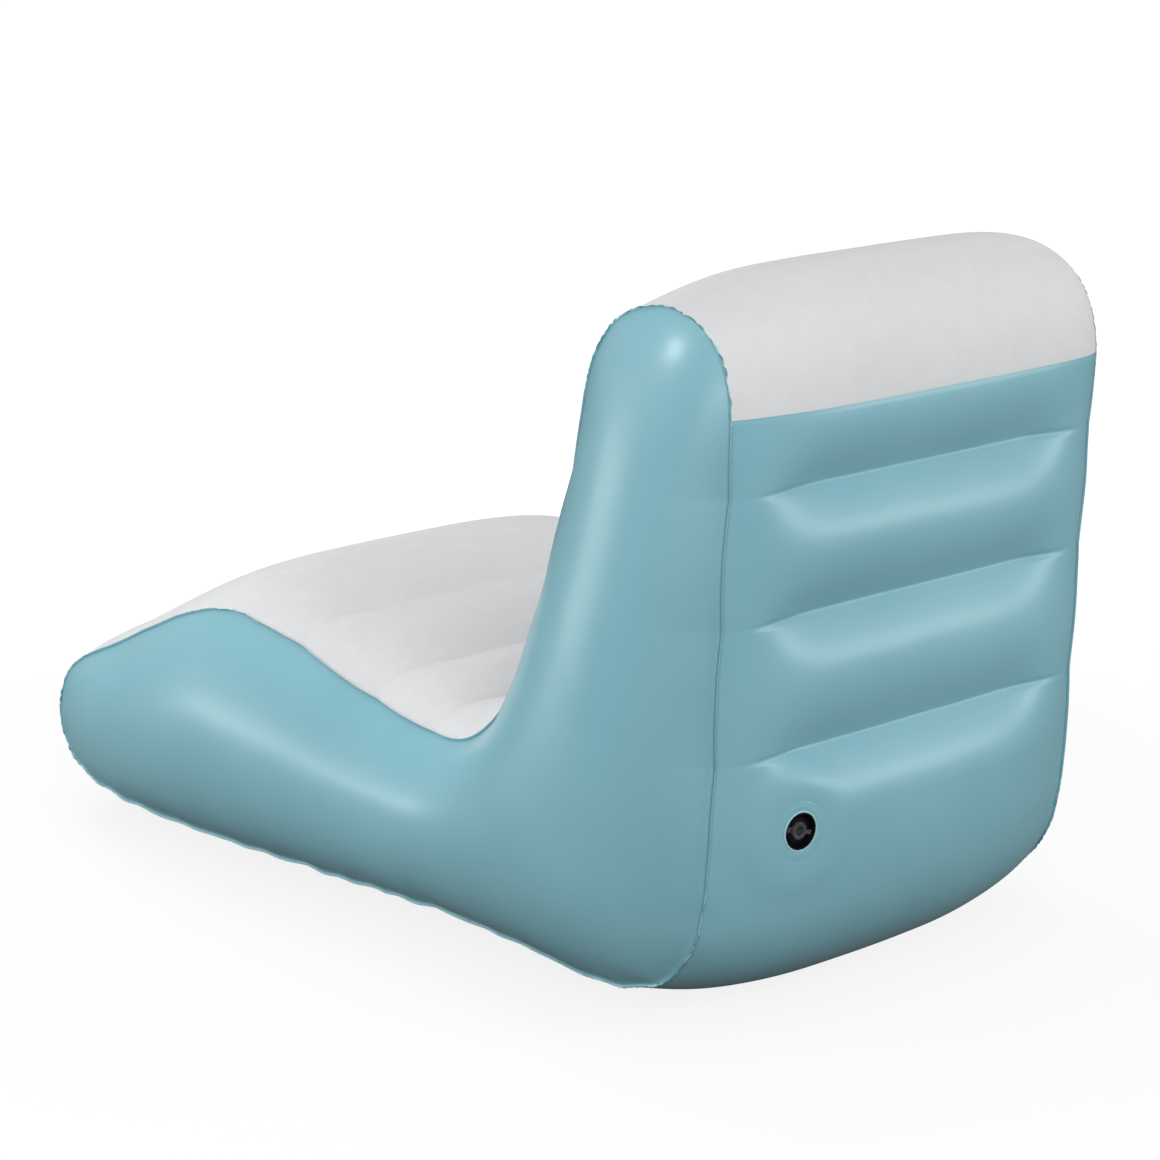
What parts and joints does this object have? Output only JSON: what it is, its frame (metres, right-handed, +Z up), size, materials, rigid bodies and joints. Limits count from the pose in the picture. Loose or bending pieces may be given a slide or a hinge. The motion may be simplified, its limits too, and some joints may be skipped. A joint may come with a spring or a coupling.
{
  "type": "inflatable pool chair",
  "caption": "Inflatable lounge chair with a ribbed seat and reclined backrest, welded film panels, internal webs and a boat valve on its back.",
  "frame": {"origin": "on the floor, under the middle of the chair's overall box", "axes": "+Z up, +Y towards the back of the chair, +X to the sitter's left"},
  "size_m": [0.8542, 1.2587, 0.8728],
  "materials": {
    "teal_film": "satin-gloss PVC film, roughness 0.32",
    "pale_cover": "flocked matte PVC film, roughness 0.75",
    "clear_web": "translucent PVC film, roughness 0.35",
    "collar_plastic": "soft moulded PVC, roughness 0.30",
    "black_plastic": "moulded plastic, roughness 0.40",
    "black_rubber": "soft moulded rubber, roughness 0.60"
  },
  "bodies": {
    "chair": {"seat_cover": "pale_cover", "back_base_panel": "teal_film", "side_panel_left": "teal_film", "side_panel_right": "teal_film", "seat_beam_1": "clear_web", "seat_beam_2": "clear_web", "seat_beam_3": "clear_web", "back_beam_1": "clear_web", "back_beam_2": "clear_web", "back_beam_3": "clear_web", "valve_collar": "collar_plastic", "valve_cup": "black_plastic"},
    "core_lift": {"core_gasket": "black_rubber"},
    "core": {"valve_core": "black_plastic"},
    "stopper": {"stopper": "black_rubber"},
    "flap": {"check_flap": "black_rubber"}
  },
  "joints": [
    {"name": "core_rise", "type": "slide", "parent": "chair", "child": "core_lift", "axis": [0.1469, 0.9891, 0.0054], "range_m": [0, 0.0042]},
    {"name": "core_turn", "type": "hinge", "parent": "core_lift", "child": "core", "pos_m": [0.20475, 0.62069, 0.24469], "axis": [0.1469, 0.9891, 0.0054], "range_deg": [0, 540]},
    {"name": "stopper_flip", "type": "hinge", "parent": "core", "child": "stopper", "pos_m": [0.22197, 0.61417, 0.24854], "axis": [0.209, -0.0257, -0.9776], "range_deg": [0, 95]},
    {"name": "flap_lift", "type": "slide", "parent": "core", "child": "flap", "axis": [-0.1469, -0.9891, -0.0054], "range_m": [0, 0.0015]}
  ],
  "couplings": [
    {"joint": "core_rise", "follows": "core_turn", "m_per_rad": 0.00044563}
  ]
}
